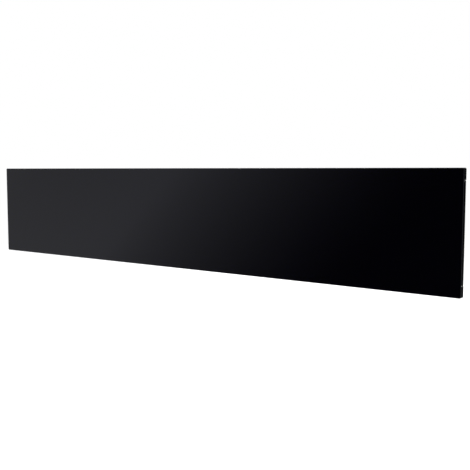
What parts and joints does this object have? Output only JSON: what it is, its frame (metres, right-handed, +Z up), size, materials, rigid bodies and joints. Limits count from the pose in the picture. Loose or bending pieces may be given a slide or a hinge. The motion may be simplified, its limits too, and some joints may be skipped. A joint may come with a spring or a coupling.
{
  "type": "electric fireplace",
  "caption": "Slim linear electric fireplace for a wall opening: a full-length black glass front over a steel box with a flame effect, ember bed and fan heater.",
  "frame": {"origin": "on the back of the lower wall lip, in the middle of its length; the wall's face is the plane y = 0", "axes": "+X along the length, to the right as a person faces the fire; -Y out of the wall towards that person; +Z up"},
  "size_m": [1.829, 0.1168, 0.3175],
  "materials": {
    "smoked_glass": "black-backed, gloss",
    "bonding_tape": "matt foam",
    "black_powder_coat": "fine satin powder coat",
    "galvanised_sheet": "galvanised",
    "bright_zinc": "bright zinc plate",
    "polished_aluminium": "bright",
    "aluminium_case": "satin",
    "circuit_board": "solder resist",
    "flame_diffuser": "translucent, sanded",
    "clear_plastic": "clear",
    "crystal": "clear crystals",
    "driftwood": "weathered",
    "black_plastic": "fine texture",
    "white_nylon": "natural",
    "rubber": "matt",
    "sintered_bronze": "sintered",
    "lead_insulation": "satin"
  },
  "bodies": {
    "chassis": {"blower_bearing": "sintered_bronze", "blower_end_plate_left": "galvanised_sheet", "blower_end_plate_right": "galvanised_sheet", "blower_lead": "lead_insulation", "blower_motor": "black_powder_coat", "blower_scroll": "galvanised_sheet", "blower_tongue": "galvanised_sheet", "cable_gland": "black_plastic", "control_board": "circuit_board", "control_pod": "black_plastic", "driftwood_left": "driftwood", "driftwood_right": "driftwood", "driver_lead": "lead_insulation", "ember_bed": "crystal", "ember_light_strip": "circuit_board", "ember_shelf": "clear_plastic", "firebox_shell": "galvanised_sheet", "flame_cutout_plate": "polished_aluminium", "flame_light_strip": "circuit_board", "flame_screen": "flame_diffuser", "heater_bay_shelf": "galvanised_sheet", "heater_frame": "galvanised_sheet", "heating_element": "polished_aluminium", "holding_magnet_left": "bright_zinc", "holding_magnet_right": "bright_zinc", "ir_receiver": "circuit_board", "led_driver": "aluminium_case", "left_end_panel": "galvanised_sheet", "lower_fascia": "black_powder_coat", "mains_lead": "lead_insulation", "outlet_grille": "black_plastic", "right_end_panel": "galvanised_sheet", "spindle_bearing_left": "white_nylon", "spindle_bearing_middle": "white_nylon", "spindle_bracket_left": "galvanised_sheet", "spindle_bracket_middle": "galvanised_sheet", "spindle_motor": "galvanised_sheet", "spindle_motor_bracket": "galvanised_sheet", "support_bracket_left_lower": "bright_zinc", "support_bracket_left_upper": "bright_zinc", "support_bracket_right_lower": "bright_zinc", "support_bracket_right_upper": "bright_zinc", "terminal_block": "white_nylon", "thermal_cutout": "black_plastic", "top_light_strip": "circuit_board", "upper_fascia": "black_powder_coat", "wiring_cover": "galvanised_sheet"},
    "front_panel": {"glass_front": "smoked_glass", "glass_tape": "bonding_tape", "front_frame": "black_powder_coat"},
    "flame_spindle": {"flame_spindle": "polished_aluminium", "spindle_coupling": "rubber"},
    "blower_rotor": {"blower_wheel": "black_plastic", "blower_shaft": "bright_zinc"},
    "power_rocker": {"power_rocker": "black_plastic"},
    "flame_button": {"flame_button": "black_plastic"},
    "heat_button": {"heat_button": "black_plastic"},
    "timer_button": {"timer_button": "black_plastic"}
  },
  "joints": [
    {"name": "front_pull", "type": "slide", "parent": "chassis", "child": "front_panel", "axis": [0, -1, 0], "range_m": [0, 0.25]},
    {"name": "flame_spindle_spin", "type": "hinge", "parent": "chassis", "child": "flame_spindle", "pos_m": [0, 0.076, 0.0317], "axis": [1, 0, 0], "continuous": true},
    {"name": "blower_spin", "type": "hinge", "parent": "chassis", "child": "blower_rotor", "pos_m": [0, 0.066, 0.2462], "axis": [1, 0, 0], "continuous": true},
    {"name": "power_rocker_tilt", "type": "hinge", "parent": "chassis", "child": "power_rocker", "pos_m": [0.797, -0.00615, -0.0097], "axis": [0, 1, 0], "range_deg": [-16, 0]},
    {"name": "flame_button_press", "type": "slide", "parent": "chassis", "child": "flame_button", "axis": [0, 0, 1], "range_m": [0, 0.0008], "stiffness_N_per_m": 100, "springref_m": -0.001},
    {"name": "heat_button_press", "type": "slide", "parent": "chassis", "child": "heat_button", "axis": [0, 0, 1], "range_m": [0, 0.0008], "stiffness_N_per_m": 100, "springref_m": -0.001},
    {"name": "timer_button_press", "type": "slide", "parent": "chassis", "child": "timer_button", "axis": [0, 0, 1], "range_m": [0, 0.0008], "stiffness_N_per_m": 100, "springref_m": -0.001}
  ]
}
